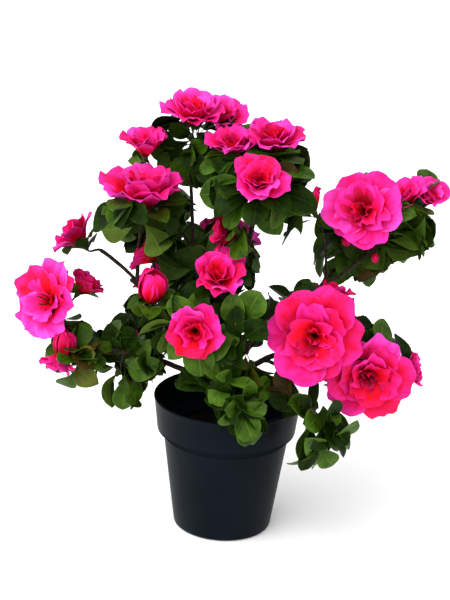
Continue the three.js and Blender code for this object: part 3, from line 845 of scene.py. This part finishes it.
for region, rows in leaf_rows.items():
    points = bpy.data.meshes.new("points_" + region)
    points.vertices.add(len(rows))
    points.vertices.foreach_set("co", np.concatenate([row[0] for row in rows]))
    for name, kind, key, column in (("turn", "QUATERNION", "value", 1),
                                    ("scale", "FLOAT_VECTOR", "vector", 2),
                                    ("blade", "INT", "value", 3), ("tint", "INT", "value", 4)):
        values = np.array([row[column] for row in rows]).ravel()
        points.attributes.new(name, kind, "POINT").data.foreach_set(key, values)
    holder = bpy.data.objects.new("points_" + region, points)
    bpy.context.collection.objects.link(holder)
    growth = holder.modifiers.new("spray", "NODES")
    growth.node_group = sprays
    inputs = {item.name: item.identifier for item in sprays.interface.items_tree if item.in_out == "INPUT"}
    growth[inputs["Blades"]] = blades
    growth[inputs["Size"]] = 1.0
    graph = bpy.context.evaluated_depsgraph_get()
    grown = bpy.data.meshes.new_from_object(holder.evaluated_get(graph))
    grown.name = "leaves_" + region
    bpy.data.objects.remove(holder)
    slots = np.array([leaf_finishes.index(slot) if slot else 0 for slot in grown.materials])
    kinds = np.zeros(len(grown.polygons), int)
    grown.polygons.foreach_get("material_index", kinds)
    grown.materials.clear()
    grown.polygons.foreach_set("material_index", slots[kinds])
    atlas(grown, "blade_map", lambda kinds: kinds, 4, 3)
    made = piece("leaves_" + region, grown, "foliage", *leaf_finishes)
    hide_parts(*["mass_" + mass for mass in REGIONS[region]])


# ---------------------------------------------------------------- flowers
# Double silk blooms: rings of stamped and heat-curled petals threaded on a wire behind a green cup,
# each ring smaller and steeper than the one outside it, with wire stamens in the open ones.
PETAL_ROWS, PETAL_COLUMNS, PETAL_THICK = 11, 15, 0.00045
# Rings of each kind: petals, length and width as shares of the petal length, share of the kind's
# opening, ruffle, curl of the rim and, where it isn't the flower's own, the ring's tint.
# The inner rings' tint "e" is a deeper red copy for the heart of the flower: painted shade.
BLOOM_RINGS = {
    "open": ((6, 1.00, 0.85, 1.0, 0.070, 0.08), (5, 0.84, 0.80, 0.70, 0.085, 0.05),
             (4, 0.62, 0.66, 0.40, 0.100, 0.0)),
    "medium": ((6, 1.00, 0.85, 1.0, 0.065, 0.08), (5, 0.86, 0.80, 0.67, 0.080, 0.05),
               (4, 0.62, 0.66, 0.33, 0.100, 0.0)),
    "full": ((7, 1.00, 0.92, 1.0, 0.085, 0.10), (6, 0.92, 0.86, 0.66, 0.090, 0.05),
             (5, 0.80, 0.72, 0.36, 0.090, 0.0, "e")),
    "cup": ((6, 1.00, 0.92, 1.0, 0.085, 0.10), (5, 0.88, 0.84, 0.62, 0.090, 0.05),
            (3, 0.72, 0.66, 0.30, 0.090, 0.0, "e")),
    "half": ((5, 1.00, 0.80, 1.0, 0.060, 0.08), (4, 0.86, 0.72, 0.58, 0.075, 0.05),
             (3, 0.70, 0.60, 0.21, 0.080, 0.0)),
    "throated": ((6, 1.00, 0.98, 1.0, 0.095, 0.12), (6, 0.84, 0.82, 0.74, 0.100, 0.06),
                 (5, 0.70, 0.68, 0.54, 0.110, 0.0, "e"), (4, 0.52, 0.54, 0.34, 0.110, 0.0, "e")),
    "starry": ((7, 1.00, 0.90, 1.0, 0.085, 0.12), (6, 0.78, 0.74, 0.68, 0.090, 0.05),
               (3, 0.50, 0.50, 0.34, 0.090, 0.0, "e")),
    "egg": ((5, 1.00, 0.80, 1.0, 0.025, -0.30), (4, 0.95, 0.70, 0.55, 0.030, -0.25)),
    "bud": ((3, 1.00, 0.62, 1.0, 0.0, -0.5), (2, 0.90, 0.55, 0.57, 0.0, -0.4)),
    "bigbud": ((6, 1.00, 0.62, 1.0, 0.035, -0.55), (4, 0.94, 0.60, 0.55, 0.03, -0.4)),
}
CLOSED = ("egg", "bud", "bigbud")
CLOSED_BOW = (46.0, 4.0, -48.0)

# The throat tone is partly the flower's own red and partly painted shade deep in the flower; the rim tone is
# partly its pink edge and partly a painted highlight.
PETAL_TINTS = {  # throat, middle, outer part, rim
    "p": ((0.170, 0.0002, 0.0008), (0.690, 0.0012, 0.026), (0.765, 0.0051, 0.150), (0.790, 0.026, 0.330)),
    "s": ((0.119, 0.0002, 0.0008), (0.600, 0.0003, 0.0034), (0.720, 0.0026, 0.055), (0.770, 0.016, 0.230)),
    "r": ((0.076, 0.0002, 0.0008), (0.255, 0.0003, 0.0051), (0.420, 0.0010, 0.027), (0.540, 0.0060, 0.100)),
    "e": ((0.102, 0.0002, 0.0006), (0.560, 0.0003, 0.0026), (0.720, 0.0018, 0.020), (0.760, 0.0080, 0.110)),
    "k": ((0.187, 0.0002, 0.0017), (0.710, 0.0028, 0.090), (0.775, 0.0130, 0.250), (0.800, 0.060, 0.470)),
}
# Tints dealt at random to each petal: "k" is a lighter copy of the pink and "s" and "e" are darker copies, so
# neighbouring petals differ as if lit and shaded: painted light and shade. "r" is the red of buds.
PETAL_DEAL = {"p": (0.45, 0.20, 0.0, 0.0, 0.35), "s": (0.35, 0.40, 0.0, 0.15, 0.10),
              "r": (0.0, 0.3, 0.7, 0.0, 0.0), "e": (0.05, 0.15, 0.20, 0.60, 0.0)}
STAMENS = {"open": 5, "medium": 3, "starry": 6, "throated": 3}


def summed(angle, step):
    """How far a line has risen and spread at each of its even steps, from its angle there."""
    return [np.concatenate(([0], np.cumsum(wave(angle))[:-1])) * step for wave in (np.cos, np.sin)]


def petal(heap, base, way, tip, width, ruffle, curl, draw, kind, bow=(-26.0, 4.0, 20.0)):
    """One petal from the flower's foot to its tip, bowed outwards from the flower's heading."""
    rows, columns = PETAL_ROWS, PETAL_COLUMNS
    chord = tip - base
    reach_length = np.linalg.norm(chord)
    lean_out = math.degrees(math.acos(np.clip(chord @ way / reach_length, -1, 1)))
    out = unit(chord - way * (chord @ way))
    arc = np.linspace(-math.pi / 2, math.pi / 2, columns)[None, :]
    over = np.sin(arc) * 0.75 + arc / math.pi * 0.5
    along = np.linspace(0, 1, rows)[:, None]
    edge = 1 - 0.42 * (1 - np.cos(arc)) ** 1.35 - draw.uniform(0.0, 0.07) * np.exp(-(over / 0.2) ** 2)
    edge = edge + 0.02 * np.sin(over * 7 + draw.uniform(0, 6))
    reach = along * edge
    fine = np.linspace(0, 1.15, 60)
    share = 0.8 if bow is CLOSED_BOW else min(1.0, lean_out / 30.0)
    angle = np.radians(lean_out + share * np.interp(fine, (0.0, 0.45, 1.0), bow))
    rise, spread = summed(angle, fine[1])
    end = np.searchsorted(fine, 1.0)
    angle = angle + math.radians(lean_out) - math.atan2(spread[end], rise[end])
    rise, spread = summed(angle, fine[1])
    length = reach_length / math.hypot(rise[end], spread[end])
    up, away, lean = (np.interp(reach, fine, curve) for curve in (rise, spread, angle))
    hem = np.clip(reach / 0.66, 0, 1)
    half = 0.5 * width / length * (0.16 + 0.84 * np.sin(hem * math.pi / 2) ** 1.15)
    turn = over * half
    flat = 0.14 + 0.4 * max(0.0, width / reach_length - 0.6)
    wrap = np.maximum(away, 0.12) + 0.60 * np.clip(np.sin(lean), 0, 1) + flat
    sweep = turn / wrap
    sideways, inward = wrap * np.sin(sweep), wrap * (1 - np.cos(sweep)) * 0.8
    waves = draw.uniform(0, 2 * math.pi, 4)
    inward += ruffle * reach ** 1.8 * np.abs(over) ** 1.2 * np.sin(3.0 * reach + waves[0] + over * 2.6)
    inward += ruffle * 0.8 * reach ** 2.6 * np.sin(over * 5.2 + waves[1])
    inward += ruffle * 0.5 * reach ** 3 * np.sin(over * 11.0 + waves[2] + 2.0 * reach)
    inward -= 0.030 * np.exp(-(over / 0.12) ** 2) * np.sin(math.pi * reach.clip(0, 1))
    inward -= curl * np.clip(reach - 0.66, 0, 1) ** 2 * 3.2 * (0.6 + 0.5 * np.sin(over * 2.2 + waves[3]))
    side = np.cross(way, out)
    lean = lean[..., None]
    inside = np.sin(lean) * way - np.cos(lean) * out
    centre = base + length * (up[..., None] * way + away[..., None] * out + sideways[..., None] * side
                              + inward[..., None] * inside)
    normal = slopes(centre)
    if (normal[rows // 2, columns // 2] * inside[rows // 2, columns // 2]).sum() < 0:
        centre, normal = centre[:, ::-1], slopes(centre[:, ::-1])
    points, faces, rims, fronts = two_sheets(centre, normal, PETAL_THICK)
    heap.add(points, faces, sheet_map(rows, columns), np.repeat([kind, kind + 1], [fronts, fronts]), rims)


def petal_cloth(tones, beneath):
    throat, middle_tone, outer, rim_tone = tones

    def paint(board):
        mapped = board.node("ShaderNodeUVMap", dict(uv_map="petal_map"))
        place = board.node("ShaderNodeTexCoord", None, out=3)
        parts = board.node("ShaderNodeSeparateXYZ", None, mapped)
        over = abs(parts - 0.5) * 2.0
        along = Wire(board, parts.socket.node.outputs[1])
        cloud = board.node("ShaderNodeTexNoise", None, Vector=place, Scale=95.0, Detail=3.0)
        streak_place = board.node("ShaderNodeCombineXYZ", None, parts * 26.0, along * 2.0, 0.0)
        streak = board.node("ShaderNodeTexNoise", None, Vector=streak_place, Scale=1.0, Detail=2.0)
        # Dark red at the throat to pink and a pale rim: partly the flower's own colour, partly painted shade
        # at the throat and painted highlight at the rim.
        reach = along + (cloud - 0.5) * 0.85 + (streak - 0.5) * 0.28
        tone = board.mix(board.ramp(reach, 0.10, 0.40), throat, middle_tone)
        tone = board.mix(board.ramp(reach, 0.38, 0.78), tone, outer)
        tone = board.mix(board.ramp(reach + over * 0.30, 0.72, 1.20), tone, rim_tone)
        crumple = board.node("ShaderNodeTexNoise", None, Vector=place, Scale=210.0, Detail=2.0)
        return dict(colour=tone, height=streak * 0.35 + crumple * 0.9, strength=0.6, distance=0.0010)
    return paint


petal_finishes = []
for tint, tones in PETAL_TINTS.items():
    petal_finishes.append(finish(f"petal_{tint}_inside", petal_cloth(tones, False), 0.7, 0.10))
    petal_finishes.append(finish(f"petal_{tint}_outside", petal_cloth(tones, True), 0.75, 0.08))
cup_green = finish("cup_green", (0.022, 0.040, 0.006), 0.6, 0.14)
stamen_brown = finish("stamen_brown", (0.050, 0.008, 0.010), 0.5, 0.3)

bloom_heaps = {region: Heap() for region in REGIONS}
part_heap = Heap()
for number, (mass, place, way, kind, size, tint) in enumerate(flowers):
    draw = np.random.default_rng(SEED + 100 + number)
    side, over = across(way)
    heap = bloom_heaps[region_of[mass]]
    tints = list(PETAL_TINTS)
    for ring, (count, share, wide, opened, ruffle, curl, *own) in enumerate(BLOOM_RINGS[kind]):
        for item in range(count):
            spin = (item + 0.5 * (ring % 2)) * 2 * math.pi / count + ring * 0.23 + draw.normal() * 0.09
            out = side * math.cos(spin) + over * math.sin(spin)
            length = size * share * draw.uniform(0.90, 1.10)
            lean = math.radians(OPENING[kind] * opened + draw.normal() * (1.0 if kind in CLOSED else 6.0))
            tip = place + length * (way * math.cos(lean) + out * math.sin(lean))
            shade = tint if kind in CLOSED else draw.choice(tints, p=PETAL_DEAL[own[0] if own else tint])
            petal(heap, place + out * 0.0012, way, tip, length * wide * draw.uniform(0.88, 1.12),
                  ruffle * draw.uniform(0.7, 1.4), curl, draw, 2 * tints.index(shade),
                  *([CLOSED_BOW] if kind in CLOSED else []))
    bend = bezier(place - way * 0.0045, place - way * 0.002, place, place + way * 0.002, 5)
    swell = np.array([0.0009, 0.0016, 0.0022, 0.0024, 0.0020]) * (0.6 if kind == "bud" else 1.0)
    tube(part_heap, bend, swell, 10, kind=0)
    for item in range(STAMENS.get(kind, 0)):
        spin = item * 2.4 + draw.normal() * 0.3
        out = side * math.cos(spin) + over * math.sin(spin)
        end = place + size * (way * draw.uniform(0.45, 0.60) + out * draw.uniform(0.05, 0.16))
        path = bezier(place + way * 0.001, place + way * size * 0.25, end - way * size * 0.2, end, 7)
        tube(part_heap, path, np.array([0.34, 0.32, 0.3, 0.3, 0.3, 0.62, 0.55]) * 0.001, 6, kind=1)

for region, heap in bloom_heaps.items():
    grown = heap.mesh("blooms_" + region, "petal_map")
    atlas(grown, "petal_map", lambda kinds: kinds, 5, 2)
    made = piece("blooms_" + region, grown, "petals", *petal_finishes)
piece("cups_and_stamens", part_heap.mesh("cups_and_stamens"), "stems", cup_green, stamen_brown)
